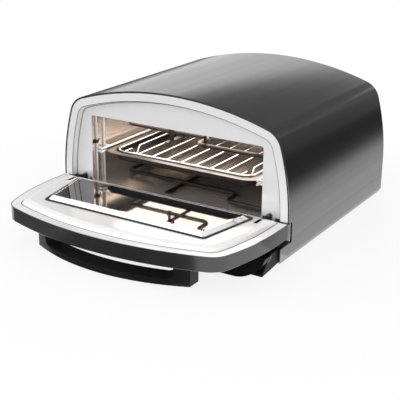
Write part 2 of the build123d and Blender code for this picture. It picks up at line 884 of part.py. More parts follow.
# Heat and timer controls: a switch behind the fascia, its shaft and its knob
for name, side in (("heat", -1), ("timer", 1)):
    x = side * knob_x
    with BuildPart() as control:
        with BuildSketch(fascia_plane(x, -fascia_wall)):
            Rectangle(control_width, control_height)
        extrude(amount=-control_depth)
        with BuildSketch(fascia_plane(x, -fascia_wall)):
            Circle(control_neck_r)
        extrude(amount=fascia_wall)
        with BuildSketch(fascia_plane(x, 0)):
            Circle(shaft_r + shaft_fit)
        extrude(amount=-shaft_tail, mode=Mode.SUBTRACT)
    save(control, f"{name}_control")

    with BuildPart() as shaft:
        with BuildSketch(fascia_plane(x, knob_gap + knob_height - knob_roof)):
            Circle(shaft_r)
        extrude(amount=-(knob_gap + knob_height - knob_roof + shaft_tail - touch))
    save(shaft, f"{name}_shaft")

    with BuildPart() as knob:
        with BuildSketch(fascia_plane(x, knob_gap)):
            Circle(knob_skirt_r)
        extrude(amount=knob_skirt)
        with BuildSketch(fascia_plane(x, knob_gap)):
            Circle(knob_r)
        extrude(amount=knob_height, taper=knob_taper)
        with BuildSketch(fascia_plane(x, knob_gap + knob_height)):
            SlotOverall(2 * knob_r - knob_grip_width, knob_grip_width, rotation=90)
        extrude(amount=knob_grip)
        with BuildSketch(fascia_plane(x, knob_gap)):
            Circle(shaft_r + shaft_fit)
        extrude(amount=knob_height - knob_roof, mode=Mode.SUBTRACT)
    save(knob, f"{name}_knob")

with BuildPart() as lamp_lens:
    with BuildSketch(fascia_plane(0, lamp_proud)):
        Circle(lamp_r)
    extrude(amount=-lamp_depth)
    fillet(lamp_lens.faces().sort_by(Axis.Y)[0].edges(), radius=lamp_proud * 0.9)
save(lamp_lens, "lamp_lens")


# Door, built open: an outer shell, an inner panel with its window, and a handle
def hinge_notches():
    """Cut the room that both hinge brackets need from the door's tail."""
    with BuildSketch(door_plane(plateau_z)) as notches:
        with Locations((-hinge_x, door_low), (hinge_x, door_low)):
            Rectangle(2 * notch_half, notch_high - door_low, align=(Align.CENTER, Align.MIN))
    extrude(
        notches.sketch, amount=plug_rise + hinge_drop + notch_depth, mode=Mode.SUBTRACT
    )


with BuildPart() as door_shell:
    with BuildSketch(door_plane(door_z)):
        arch_face(0, door_low)
    extrude(amount=door_thickness)
    tail_edge = door_shell.edges().filter_by(Axis.X).group_by(Axis.Z)[0].sort_by(Axis.Y)[-1]
    fillet(tail_edge, radius=door_tail_round)
    face_edges = door_shell.faces().sort_by(Axis.Z)[0].edges().sort_by(Axis.Y)
    chamfer(face_edges[:-1], length=door_chamfer)
    with BuildSketch(door_plane(door_z)):
        arch_face(door_wall, door_low + door_wall)
    extrude(amount=door_thickness - door_wall, mode=Mode.SUBTRACT)
    # Blocks either side of each notch carry the hinge pins
    with BuildSketch(door_plane(door_z - panel_sheet - touch)):
        with Locations((-hinge_x, door_low + door_wall), (hinge_x, door_low + door_wall)):
            Rectangle(
                2 * (notch_half + cheek_width),
                notch_high + cheek_reach - door_low - door_wall,
                align=(Align.CENTER, Align.MIN),
            )
    extrude(amount=door_thickness - panel_sheet - touch - door_wall)
    hinge_notches()
    for side in (-1, 1):
        with BuildSketch(Plane.YZ.offset(side * hinge_x)):
            with Locations((hinge_y, hinge_z)):
                Circle(hinge_pin_r)
        extrude(amount=hinge_pin_length / 2, both=True, mode=Mode.SUBTRACT)
    # Window and the handle's screw holes through the outer skin
    with BuildSketch(door_plane(door_out_z + door_wall)):
        window_face(-outer_window_inset)
    extrude(amount=door_wall, mode=Mode.SUBTRACT)
    with BuildSketch(Plane.XY.offset(door_out_z)):
        with Locations((-post_x, post_y), (post_x, post_y)):
            Circle(screw_shank_r)
    extrude(amount=door_wall, mode=Mode.SUBTRACT)
save(door_shell, "door_shell")

with BuildPart() as outer_glass:
    with BuildSketch(door_plane(door_out_z + door_wall + glass)):
        window_face(outer_glass_lap - outer_window_inset)
    extrude(amount=glass)
save(outer_glass, "outer_glass")


def plug(inset, drop, mode=Mode.ADD):
    """Add the panel's raised middle: a steep wall that eases into a flat plateau."""
    layers = []
    for step, rise in ((0, 0), (plug_knee, plug_knee_rise), (plug_slope, plug_rise)):
        with BuildSketch(door_plane(door_z - drop + rise)) as layer:
            arch_face(plug_inset + inset + step, door_low + plug_tail + inset + step)
        layers.append(layer.sketch)
    loft(layers, ruled=True, mode=mode)


with BuildPart() as door_panel:
    edge = door_wall + panel_fit
    with BuildSketch(door_plane(door_z)):
        arch_face(edge, door_low + edge)
    extrude(amount=panel_sheet)
    # Fine groove that parts the flat rim from the raised middle
    with BuildSketch(door_plane(door_z)):
        arch_face(plug_inset - panel_groove, door_low + plug_tail - panel_groove)
        arch_face(plug_inset, door_low + plug_tail, Mode.SUBTRACT)
    extrude(amount=panel_groove_depth, mode=Mode.SUBTRACT)
    plug(0, 0)
    plug(panel_sheet / 2, panel_sheet, Mode.SUBTRACT)
    with BuildSketch(door_plane(plateau_z)):
        window_face(-bezel_wall - bezel_ledge)
    extrude(amount=plug_rise + panel_sheet, mode=Mode.SUBTRACT)
    hinge_notches()
save(door_panel, "door_panel")

glass_top_z = bezel_z - glass_sunk
with BuildPart() as window_bezel:
    with BuildSketch(door_plane(plateau_z)):
        window_face(bezel_slope)
    with BuildSketch(door_plane(bezel_z)):
        window_face(0)
    loft(ruled=True)
    with BuildSketch(door_plane(bezel_z)):
        window_face(-bezel_wall - bezel_ledge)
    extrude(amount=window_rise, mode=Mode.SUBTRACT)
    with BuildSketch(door_plane(bezel_z)):
        window_face(-bezel_wall)
    extrude(amount=glass_sunk + glass, mode=Mode.SUBTRACT)
save(window_bezel, "window_bezel")

with BuildPart() as inner_glass:
    with BuildSketch(door_plane(glass_top_z)):
        window_face(-bezel_wall - glass_fit)
    extrude(amount=glass)
save(inner_glass, "inner_glass")

with BuildPart() as window_seal:
    with BuildSketch(door_plane(plateau_z + seal_rise)):
        window_face(bezel_slope + seal_gap + seal_width)
        window_face(bezel_slope + seal_gap, Mode.SUBTRACT)
    extrude(amount=seal_rise)
save(window_seal, "window_seal")

# Handle: a bowed bar on two posts, with a slot for the fingers
bow_r = (handle_half**2 + handle_bow**2) / (2 * handle_bow)
bow_centre_y = front_y - handle_front - handle_bow + bow_r
with BuildPart() as handle:
    with BuildSketch(Plane.XY.offset(handle_low_z)):
        with BuildLine():
            end_y = front_y - handle_front
            bar = RadiusArc((-handle_half, end_y), (handle_half, end_y), -bow_r)
            Line(bar @ 1, (handle_half, end_y + handle_bar))
            back = RadiusArc(
                (handle_half, end_y + handle_bar), (-handle_half, end_y + handle_bar), bow_r
            )
            Line(back @ 1, bar @ 0)
        make_face()
    extrude(amount=handle_reach)
    # The slot turns about the bow's centre; its floor rises to the back as a finger scoop
    spread = asin(slot_half / bow_r)
    radial = Vector(-sin(spread), -cos(spread), 0)
    slot_plane = Plane(
        origin=(0, bow_centre_y, 0), x_dir=radial, z_dir=radial.cross(Vector(0, 0, 1))
    )
    with BuildSketch(slot_plane):
        with BuildLine():
            Polyline(
                (bow_r - 2 * handle_bar, handle_top_z + 2 * handle_scoop),
                (bow_r, handle_top_z),
                (bow_r + handle_bar, handle_top_z),
                (bow_r + handle_bar, door_out_z),
                (bow_r - 2 * handle_bar, door_out_z),
                close=True,
            )
        make_face()
    revolve(
        axis=Axis((0, bow_centre_y, 0), (0, 0, 1)),
        revolution_arc=2 * degrees(spread),
        mode=Mode.SUBTRACT,
    )
    low_edges = handle.faces().sort_by(Axis.Z)[0].edges()
    fillet(low_edges, radius=handle_edge)
    with BuildSketch(Plane.XY.offset(door_out_z)):
        with Locations((-post_x, post_y), (post_x, post_y)):
            Circle(screw_shank_r)
    extrude(amount=-handle_screw_depth, mode=Mode.SUBTRACT)
save(handle, "handle")

with BuildPart() as handle_screws:
    with BuildSketch(Plane.XY.offset(door_out_z + door_wall)):
        with Locations((-post_x, post_y), (post_x, post_y)):
            Circle(screw_r)
    extrude(amount=screw_head)
    with BuildSketch(Plane.XY.offset(door_out_z + door_wall)):
        with Locations((-post_x, post_y), (post_x, post_y)):
            Circle(screw_shank_r - touch)
    extrude(amount=touch - handle_screw_depth - door_wall)
save(handle_screws, "handle_screws")

# Hinge brackets on the frame, and the pins that the door turns with
for name, side in (("left", -1), ("right", 1)):
    x = side * hinge_x
    with BuildPart() as bracket:
        with BuildSketch(Plane.YZ.offset(x - hinge_plate / 2)):
            with Locations((hinge_y, hinge_z)):
                Circle(hinge_eye_r)
                Rectangle(
                    face_y - hinge_y, 2 * hinge_eye_r, align=(Align.MIN, Align.CENTER)
                )
            with Locations((face_y, hinge_z)):
                Rectangle(
                    hinge_tab_reach, hinge_tab_top - hinge_z, align=(Align.MAX, Align.MIN)
                )
        extrude(amount=hinge_plate)
        with BuildSketch(front_plane(face_y)):
            with Locations((x, hinge_z)):
                Rectangle(hinge_foot_width, hinge_foot_height)
        extrude(amount=hinge_foot_sheet)
        with BuildSketch(Plane.YZ.offset(x - hinge_plate)):
            with Locations((hinge_y, hinge_z)):
                Circle(hinge_pin_r + hinge_pin_fit)
        extrude(amount=2 * hinge_plate, mode=Mode.SUBTRACT)
        with BuildSketch(front_plane(face_y)):
            with Locations(bracket_screw_spots):
                Circle(screw_shank_r)
        extrude(amount=hinge_foot_sheet, mode=Mode.SUBTRACT)
    save(bracket, f"hinge_bracket_{name}")

    with BuildPart() as pin:
        with BuildSketch(Plane.YZ.offset(x)):
            with Locations((hinge_y, hinge_z)):
                Circle(hinge_pin_r)
        extrude(amount=hinge_pin_length / 2, both=True)
    save(pin, f"hinge_pin_{name}")

with BuildPart() as bracket_screws:
    with BuildSketch(front_plane(face_y - hinge_foot_sheet)):
        with Locations(bracket_screw_spots):
            Circle(bracket_screw_head_r)
    extrude(amount=bracket_screw_head)
    with BuildSketch(front_plane(face_back + screw_tip)):
        with Locations(bracket_screw_spots):
            Circle(screw_shank_r - touch)
    extrude(amount=screw_tip + sheet + hinge_foot_sheet)
save(bracket_screws, "bracket_screws")

# Tray: a shallow enamelled pan with a flat flange all round
with BuildPart() as tray:
    with BuildSketch(Plane.XY.offset(tray_rim_z)):
        with Locations((0, tray_mid_y)):
            RectangleRounded(tray_width, tray_length, tray_corner_r)
    extrude(amount=-tray_wall)
    with BuildSketch(Plane.XY.offset(tray_rim_z)):
        with Locations((0, tray_mid_y)):
            RectangleRounded(well_width, well_length, tray_well_r)
    extrude(amount=-tray_depth, taper=tray_taper)
    with BuildSketch(Plane.XY.offset(tray_rim_z)):
        with Locations((0, tray_mid_y)):
            RectangleRounded(
                well_width - 2 * tray_wall, well_length - 2 * tray_wall, tray_well_r - tray_wall
            )
    extrude(amount=tray_wall - tray_depth, taper=tray_taper, mode=Mode.SUBTRACT)
save(tray, "tray")

# Rack: a closed frame wire with bars across; the outer bars dip into feet
with BuildPart() as rack:
    with BuildLine() as frame_run:
        FilletPolyline(
            (-rack_width / 2, rack_front, rack_z),
            (rack_width / 2, rack_front, rack_z),
            (rack_width / 2, rack_front + rack_length, rack_z),
            (-rack_width / 2, rack_front + rack_length, rack_z),
            radius=rack_corner_r,
            close=True,
        )
    sweep_wire(frame_run, rack_frame_r)
    last = (rack_bars - 1) / 2
    for step in range(rack_bars):
        x = (step - last) * rack_pitch
        points = [(x, rack_front, rack_z)]
        if abs(step - last) == last:
            for place in rack_foot_places:
                start = rack_front + place
                points += [
                    (x, start, rack_z),
                    (x, start + rack_foot_run / 2 - rack_foot_flat, rack_z - rack_foot_depth),
                    (x, start + rack_foot_run / 2 + rack_foot_flat, rack_z - rack_foot_depth),
                    (x, start + rack_foot_run, rack_z),
                ]
        points.append((x, rack_front + rack_length, rack_z))
        with BuildLine() as bar_run:
            if len(points) == 2:
                Line(*points)
            else:
                FilletPolyline(*points, radius=rack_foot_bend_r)
        sweep_wire(bar_run, rack_bar_r)
save(rack, "rack")
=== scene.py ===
import json
import math

import bmesh
import bpy
from mathutils import Matrix, Vector


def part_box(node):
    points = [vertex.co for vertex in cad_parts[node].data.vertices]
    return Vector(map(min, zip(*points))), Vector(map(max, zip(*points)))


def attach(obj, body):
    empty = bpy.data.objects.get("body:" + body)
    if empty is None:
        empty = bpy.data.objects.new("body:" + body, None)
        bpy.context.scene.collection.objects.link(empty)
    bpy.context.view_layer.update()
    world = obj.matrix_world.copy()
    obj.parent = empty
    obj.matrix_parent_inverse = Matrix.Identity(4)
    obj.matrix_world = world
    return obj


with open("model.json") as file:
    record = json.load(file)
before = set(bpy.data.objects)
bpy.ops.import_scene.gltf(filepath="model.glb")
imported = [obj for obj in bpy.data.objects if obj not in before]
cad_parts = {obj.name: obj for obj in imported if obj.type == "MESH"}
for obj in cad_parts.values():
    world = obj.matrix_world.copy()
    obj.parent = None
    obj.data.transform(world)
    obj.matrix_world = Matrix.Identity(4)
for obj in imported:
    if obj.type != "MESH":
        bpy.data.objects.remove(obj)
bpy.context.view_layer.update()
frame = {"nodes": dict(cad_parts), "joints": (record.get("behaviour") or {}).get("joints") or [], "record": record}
nodes = frame["nodes"]
scene = bpy.context.scene
scene.view_settings.view_transform = "Standard"


# Sizes that the added details share with the solids, in metres
panel_rise = 0.006  # the panel's raised middle above its rim
front_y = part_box("front_frame")[0].y
half_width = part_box("outer_shell")[1].x
body_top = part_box("outer_shell")[1].z
door_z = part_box("door_panel")[1].z - panel_rise
handle_low, handle_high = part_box("handle")
spring_z = 0.061  # where the body's side arcs begin
side_bow_r = 0.387
shoulder_r = 0.036
crown_r = 0.545
recess = 0.0095  # the frame's recessed face behind its rim
rim_inset = 0.0157  # from the body's outline to the rim's inner edge
step_inset = 0.0187  # and to the foot of the slope behind it
groove_inset = 0.0161  # of the dark groove round the open door's panel
groove_depth = 0.0005
hinge_line = front_y + 0.0288  # a height on the shut door lies as far ahead of this, open
groove_low = 0.0373  # the groove's lower end on the shut door
liner_half = 0.1591  # inner half width of the cavity


# Camera, at the photograph's angle
camera_place = Vector((0.774039, front_y - 1.154223, 0.567588))
camera_turn = (31.8755, 20.2132, 0.5265)  # azimuth, elevation and roll in degrees
camera_lens = 84.907


def add_camera():
    az, el, roll = (math.radians(angle) for angle in camera_turn)
    back = Vector((math.sin(az) * math.cos(el), -math.cos(az) * math.cos(el), math.sin(el)))
    right = Vector((math.cos(az), math.sin(az), 0))
    up = back.cross(right)
    right, up = (
        right * math.cos(roll) + up * math.sin(roll),
        up * math.cos(roll) - right * math.sin(roll),
    )
    data = bpy.data.cameras.new("camera")
    data.lens = camera_lens
    data.sensor_width = 36
    data.clip_start = 0.01
    camera = bpy.data.objects.new("camera", data)
    scene.collection.objects.link(camera)
    turn = Matrix((right, up, back)).transposed().to_4x4()
    camera.matrix_world = Matrix.Translation(camera_place) @ turn
    scene.camera = camera


add_camera()


# Light: a white room, soft boxes, and graded cards that only reflections see
room_level = 0.55


def background_factor(tree):
    """1 for rays that see the background itself: camera, glossy and transmission rays."""
    path = tree.nodes.new("ShaderNodeLightPath")
    first = tree.nodes.new("ShaderNodeMath")
    first.operation = "MAXIMUM"
    second = tree.nodes.new("ShaderNodeMath")
    second.operation = "MAXIMUM"
    tree.links.new(path.outputs["Is Camera Ray"], first.inputs[0])
    tree.links.new(path.outputs["Is Glossy Ray"], first.inputs[1])
    tree.links.new(first.outputs[0], second.inputs[0])
    tree.links.new(path.outputs["Is Transmission Ray"], second.inputs[1])
    return second.outputs[0]


def add_world():
    world = bpy.data.worlds.new("studio")
    scene.world = world
    world.use_nodes = True
    tree = world.node_tree
    tree.nodes.clear()
    out = tree.nodes.new("ShaderNodeOutputWorld")
    mix = tree.nodes.new("ShaderNodeMixShader")
    room = tree.nodes.new("ShaderNodeBackground")
    room.inputs["Color"].default_value = (1, 1, 1, 1)
    room.inputs["Strength"].default_value = room_level
    seen = tree.nodes.new("ShaderNodeBackground")
    seen.inputs["Color"].default_value = (1, 1, 1, 1)
    seen.inputs["Strength"].default_value = 1.0
    tree.links.new(background_factor(tree), mix.inputs[0])
    tree.links.new(room.outputs[0], mix.inputs[1])
    tree.links.new(seen.outputs[0], mix.inputs[2])
    tree.links.new(mix.outputs[0], out.inputs[0])


def from_front(x, y, z):
    """A place in the room, with y measured from the frame's front."""
    return Vector((x, front_y + y, z))


def add_area(name, place, target, size, power, color=(1, 1, 1), mirrored=True):
    """A soft box. Where mirrored is false, reflections don't see it."""
    data = bpy.data.lights.new(name, "AREA")
    data.shape = "RECTANGLE"
    data.size, data.size_y = size
    data.energy = power
    data.color = color
    lamp = bpy.data.objects.new(name, data)
    scene.collection.objects.link(lamp)
    lamp.visible_glossy = mirrored
    lamp.location = from_front(*place)
    aim = from_front(*target) - lamp.location
    lamp.rotation_euler = aim.to_track_quat("-Z", "Y").to_euler()


def plane_mesh(name, corners):
    mesh = bpy.data.meshes.new(name)
    mesh.from_pydata(corners, [], [(0, 1, 2, 3)])
    obj = bpy.data.objects.new(name, mesh)
    scene.collection.objects.link(obj)
    return obj


def add_flag(name, corners, axis, stops):
    """A card that only glossy rays see. Stops are (distance along the axis, brightness)."""
    flag = plane_mesh(name, [from_front(*corner) for corner in corners])
    material = bpy.data.materials.new(name)
    material.use_nodes = True
    tree = material.node_tree
    tree.nodes.clear()
    where = tree.nodes.new("ShaderNodeNewGeometry")
    split = tree.nodes.new("ShaderNodeSeparateXYZ")
    tree.links.new(where.outputs["Position"], split.inputs[0])
    span = tree.nodes.new("ShaderNodeMapRange")
    span.inputs["From Min"].default_value = stops[0][0]
    span.inputs["From Max"].default_value = stops[-1][0]
    size = tree.nodes.new("ShaderNodeMath")
    size.operation = "ABSOLUTE"
    tree.links.new(split.outputs[axis], size.inputs[0])
    tree.links.new(size.outputs[0], span.inputs["Value"])
    ramp = tree.nodes.new("ShaderNodeValToRGB")
    points = ramp.color_ramp.elements
    while len(points) < len(stops):
        points.new(0.5)
    for point, (place, level) in zip(points, stops):
        point.position = (place - stops[0][0]) / (stops[-1][0] - stops[0][0])
        point.color = (level, level, level, 1)
    tree.links.new(span.outputs[0], ramp.inputs[0])
    glow = tree.nodes.new("ShaderNodeEmission")
    tree.links.new(ramp.outputs[0], glow.inputs["Color"])
    out = tree.nodes.new("ShaderNodeOutputMaterial")
    tree.links.new(glow.outputs[0], out.inputs[0])
    flag.data.materials.append(material)
    flag.visible_camera = False
    flag.visible_diffuse = False
    flag.visible_shadow = False
    flag.visible_transmission = False


def add_floor():
    """A pale floor that keeps the shadow round the feet and fades to white further out."""
    half, z = 12, -0.0005
    floor = plane_mesh("floor", [(x * half, y * half, z)
                                 for x, y in ((-1, -1), (1, -1), (1, 1), (-1, 1))])
    material = bpy.data.materials.new("floor_white")
    material.use_nodes = True
    tree = material.node_tree
    shader = tree.nodes["Principled BSDF"]
    shader.inputs["Base Color"].default_value = (0.92, 0.92, 0.92, 1)
    shader.inputs["Roughness"].default_value = 0.9
    glow = tree.nodes.new("ShaderNodeEmission")
    mix = tree.nodes.new("ShaderNodeMixShader")
    place = tree.nodes.new("ShaderNodeNewGeometry")
    far = tree.nodes.new("ShaderNodeVectorMath")
    far.operation = "LENGTH"
    ramp = tree.nodes.new("ShaderNodeMapRange")
    ramp.inputs["From Min"].default_value = 0.30
    ramp.inputs["From Max"].default_value = 0.62
    ramp.inputs["To Min"].default_value = 0.84
    ramp.inputs["To Max"].default_value = 1.0
    seen = tree.nodes.new("ShaderNodeMath")
    seen.operation = "MULTIPLY"
    tree.links.new(place.outputs["Position"], far.inputs[0])
    tree.links.new(far.outputs["Value"], ramp.inputs["Value"])
    tree.links.new(ramp.outputs[0], seen.inputs[0])
    tree.links.new(background_factor(tree), seen.inputs[1])
    tree.links.new(seen.outputs[0], mix.inputs[0])
    tree.links.new(shader.outputs[0], mix.inputs[1])
    tree.links.new(glow.outputs[0], mix.inputs[2])
    tree.links.new(mix.outputs[0], tree.nodes["Material Output"].inputs[0])
    floor.data.materials.append(material)


add_world()
add_floor()
add_area("key", (-1.2, -1.7, 2.4), (0, 0.1, 0.1), (2.7, 2.7), 22)
add_area("front_fill", (0.9, -2.1, 0.7), (0, 0, 0.1), (1.4, 1.0), 25, mirrored=False)
add_area("left_fill", (-2.2, -0.9, 0.9), (0, -0.1, 0.05), (1.0, 0.8), 20, mirrored=False)
add_area("side_fill", (2.2, -0.1, 0.9), (0.1, 0.2, 0.1), (1.0, 1.0), 5, mirrored=False)
add_area("cavity_glow", (0, 0.125, 0.160), (0, 0.130, 0), (0.26, 0.21), 0.92, (1.0, 0.84, 0.72))

# What the arched shell mirrors: grey low on the left, dark above and to the right
add_flag("flag_left", [(-6, 3.2, 0), (0.9, 3.2, 0), (0.9, 3.2, 3), (-6, 3.2, 3)], "Z",
         [(0, 1.0), (0.4, 0.72), (0.9, 0.74), (1.2, 0.86), (1.45, 0.13), (3, 0.08)])
# What the tray's flange and the level panel mirror on their left
add_flag("flag_high", [(-6, 3.1, 1.3), (-2.8, 3.1, 1.3), (-2.8, 3.1, 2.8), (-6, 3.1, 2.8)], "X",
         [(2.8, 0.12), (3.3, 0.9), (6, 1.0)])
add_flag("flag_right", [(0.9, 3.2, 0), (6, 3.2, 0), (6, 3.2, 3), (0.9, 3.2, 3)], "X",
         [(0.9, 0.10), (1.2, 0.12), (1.35, 0.20), (1.5, 0.12), (1.8, 0.09), (6, 0.09)])
# What the front and the open door mirror
add_flag("flag_front", [(-6, -4, 0.9), (6, -4, 0.9), (6, -4, 3.2), (-6, -4, 3.2)], "Z",
         [(0.9, 0.80), (1.7, 0.35), (2.6, 0.06), (3.2, 0.03)])
add_flag("flag_near", [(-6, -0.17, 0.001), (0.16, -0.17, 0.001), (0.16, -5, 0.001),
                       (-6, -5, 0.001)], "X",
         [(0, 0.12), (0.13, 0.14), (0.16, 0.30), (0.30, 0.14), (6, 0.10)])
# What the shell's upright sides mirror near the floor
for side in (-1, 1):
    add_flag("flag_low", [(side * 0.22, 0.02, 0.001), (side * 6, 0.02, 0.001),
                          (side * 6, 3.2, 0.001), (side * 0.22, 3.2, 0.001)], "X",
             [(0.22, 0.64), (0.36, 0.46), (0.46, 0.12), (0.56, 0.04), (6, 0.03)])


# Materials, all worked out in the shader from object coordinates
def mix_color(tree, factor, low, high):
    ramp = tree.nodes.new("ShaderNodeValToRGB")
    ramp.color_ramp.elements[0].position = 0.3
    ramp.color_ramp.elements[1].position = 0.7
    ramp.color_ramp.elements[0].color = (*low, 1)
    ramp.color_ramp.elements[1].color = (*high, 1)
    tree.links.new(factor, ramp.inputs[0])
    return ramp.outputs[0]


def add_noise(tree, scale, detail, stretch):
    where = tree.nodes.new("ShaderNodeTexCoord")
    mapping = tree.nodes.new("ShaderNodeMapping")
    mapping.inputs["Scale"].default_value = stretch
    noise = tree.nodes.new("ShaderNodeTexNoise")
    noise.inputs["Scale"].default_value = scale
    noise.inputs["Detail"].default_value = detail
    tree.links.new(where.outputs["Object"], mapping.inputs[0])
    tree.links.new(mapping.outputs[0], noise.inputs["Vector"])
    return noise.outputs["Fac"]


def darken_creases(tree, color, reach):
    """Shade where two faces meet in an inner corner."""
    corner = tree.nodes.new("ShaderNodeAmbientOcclusion")
    corner.inputs["Distance"].default_value = reach
    corner.samples = 8
    ramp = tree.nodes.new("ShaderNodeMapRange")
    ramp.inputs["From Min"].default_value = 0.50
    ramp.inputs["From Max"].default_value = 0.90
    ramp.inputs["To Min"].default_value = 0.12
    tree.links.new(corner.outputs["AO"], ramp.inputs["Value"])
    product = tree.nodes.new("ShaderNodeVectorMath")
    product.operation = "SCALE"
    tree.links.new(color, product.inputs[0])
    tree.links.new(ramp.outputs[0], product.inputs["Scale"])
    return product.outputs[0]


def make_material(
    name, low, high, metallic=0.0, rough=(0.3, 0.4), coat=0.0, coat_rough=0.05, grain=300.0,
    patch=14.0, bump=0.05, depth=0.0002, stretch=(1, 1, 1), bevel=0.0, specular=0.5,
    alpha=1.0, crease=0.0,
):
    """Blotches of two colours at the patch scale, and fine roughness and relief at the grain."""
    material = bpy.data.materials.new(name)
    material.use_nodes = True
    tree = material.node_tree
    shader = tree.nodes["Principled BSDF"]
    shader.inputs["Metallic"].default_value = metallic
    shader.inputs["Coat Weight"].default_value = coat
    shader.inputs["Coat Roughness"].default_value = coat_rough
    shader.inputs["Specular IOR Level"].default_value = specular
    shader.inputs["Alpha"].default_value = alpha
    blotch = add_noise(tree, patch, 4, stretch)
    color = mix_color(tree, blotch, low, high)
    if crease:
        color = darken_creases(tree, color, crease)
    tree.links.new(color, shader.inputs["Base Color"])
    fine = add_noise(tree, grain, 3, stretch)
    spread = tree.nodes.new("ShaderNodeMapRange")
    spread.inputs["To Min"].default_value = rough[0]
    spread.inputs["To Max"].default_value = rough[1]
    tree.links.new(fine, spread.inputs["Value"])
    tree.links.new(spread.outputs[0], shader.inputs["Roughness"])
    relief = tree.nodes.new("ShaderNodeBump")
    relief.inputs["Strength"].default_value = bump
    relief.inputs["Distance"].default_value = depth
    tree.links.new(fine, relief.inputs["Height"])
    if bevel:
        edge = tree.nodes.new("ShaderNodeBevel")
        edge.inputs["Radius"].default_value = bevel
        edge.samples = 4
        tree.links.new(edge.outputs[0], relief.inputs["Normal"])
    tree.links.new(relief.outputs[0], shader.inputs["Normal"])
    return material


def grey(value):
    return (value, value, value * 1.01)


# Casing metal, streaked from front to back
CASING = dict(low=(0.36, 0.355, 0.36), high=(0.42, 0.415, 0.42), metallic=1.0,
              rough=(0.12, 0.19), patch=45, bump=0.01, stretch=(1, 0.02, 1))
# Pale satin metal of the frame and the door's panel
SATIN = dict(coat=0.4, coat_rough=0.08, patch=3, grain=1500, bump=0.0, crease=0.0035)
MATERIALS = {
    "shell_enamel": CASING,
    "skirt_metal": CASING,
    "housing_plastic": dict(low=grey(0.007), high=grey(0.010), rough=(0.42, 0.55), bump=0.15,
                            specular=0.25),
    "fascia_plastic": dict(low=grey(0.005), high=grey(0.007), rough=(0.18, 0.24), bump=0.03,
                           bevel=0.0008, specular=0.25),
    "trim_metal": dict(low=grey(0.55), high=grey(0.62), metallic=1.0, rough=(0.2, 0.28)),
    "frame_metal": dict(low=(0.79, 0.79, 0.795), high=(0.81, 0.81, 0.815), metallic=0.3,
                        rough=(0.28, 0.29), bevel=0.0008, **SATIN),
    "dial_paint": dict(low=grey(0.74), high=grey(0.80), rough=(0.45, 0.55)),
    "gasket_black": dict(low=grey(0.008), high=grey(0.014), rough=(0.5, 0.7), bump=0.2),
    "liner_metal": dict(low=(0.76, 0.66, 0.56), high=(0.86, 0.80, 0.74), metallic=0.75,
                        rough=(0.18, 0.26), grain=60, bump=0.03, depth=0.0004,
                        stretch=(1, 1, 0.12)),
    "element_steel": dict(low=(0.012, 0.010, 0.009), high=(0.030, 0.026, 0.023), metallic=0.3,
                          rough=(0.25, 0.40), patch=60, bump=0.1),
    "ceramic_white": dict(low=(0.78, 0.75, 0.68), high=(0.86, 0.84, 0.79), rough=(0.5, 0.65)),
    "support_steel": dict(low=(0.014, 0.012, 0.010), high=(0.035, 0.030, 0.026), metallic=0.6,
                          rough=(0.3, 0.45), patch=80),
    "bracket_black": dict(low=grey(0.010), high=grey(0.016), rough=(0.4, 0.5)),
    "bulb_copper": dict(low=(0.55, 0.27, 0.15), high=(0.72, 0.40, 0.24), metallic=1.0,
                        rough=(0.22, 0.4), patch=70),
    "guide_wire": dict(low=grey(0.72), high=grey(0.80), metallic=0.45, rough=(0.15, 0.25),
                       patch=50),
    "rack_wire": dict(low=grey(0.60), high=grey(0.72), metallic=1.0, rough=(0.12, 0.20),
                      patch=50, grain=500),
    "tray_enamel": dict(low=grey(0.004), high=grey(0.007), rough=(0.20, 0.26), specular=0.6,
                        grain=700, bump=0.0, bevel=0.0008),
    "pan_metal": dict(low=grey(0.46), high=grey(0.50), metallic=0.9, rough=(0.38, 0.46),
                      patch=30, grain=900),
    "foot_rubber": dict(low=grey(0.012), high=grey(0.02), rough=(0.6, 0.8), bump=0.25),
    "screw_steel": dict(low=grey(0.48), high=grey(0.60), metallic=1.0, rough=(0.25, 0.4)),
    "hinge_steel": dict(low=grey(0.008), high=grey(0.014), metallic=0.4, rough=(0.3, 0.42),
                        bevel=0.0006),
    "pin_steel": dict(low=grey(0.5), high=grey(0.6), metallic=1.0, rough=(0.2, 0.3)),
    "switch_plastic": dict(low=(0.70, 0.67, 0.60), high=(0.76, 0.73, 0.66), rough=(0.45, 0.6)),
    "lamp_red": dict(low=(0.42, 0.010, 0.008), high=(0.55, 0.018, 0.014), rough=(0.15, 0.22),
                     specular=0.4),
    "knob_plastic": dict(low=grey(0.008), high=grey(0.014), rough=(0.32, 0.42), bevel=0.0008),
    "door_metal": dict(low=grey(0.007), high=grey(0.010), rough=(0.16, 0.22), specular=1.0,
                       coat=0.6, coat_rough=0.1, grain=900, bump=0.02, bevel=0.001),
    "panel_metal": dict(low=(0.83, 0.83, 0.835), high=(0.86, 0.86, 0.865), metallic=0.15,
                        rough=(0.24, 0.25), bevel=0.0010, **SATIN),
    "bezel_metal": dict(low=grey(0.80), high=grey(0.88), metallic=1.0, rough=(0.06, 0.12),
                        bevel=0.0006),
    "seal_black": dict(low=grey(0.006), high=grey(0.010), rough=(0.45, 0.6), bump=0.2),
    "door_glass": dict(low=(0.010, 0.010, 0.011), high=(0.014, 0.014, 0.015),
                       rough=(0.02, 0.05), bump=0.0, coat=0.8, alpha=0.88),
    "handle_plastic": dict(low=grey(0.007), high=grey(0.010), rough=(0.30, 0.38), bump=0.08,
                           grain=1500, bevel=0.0015, specular=0.22),
}
materials = {slot: make_material(slot + "_look", **look) for slot, look in MATERIALS.items()}
for entry in frame["record"]["subparts"]:
    mesh = nodes[entry["node"]].data
    mesh.materials.clear()
    mesh.materials.append(materials[entry["material_slot"]])


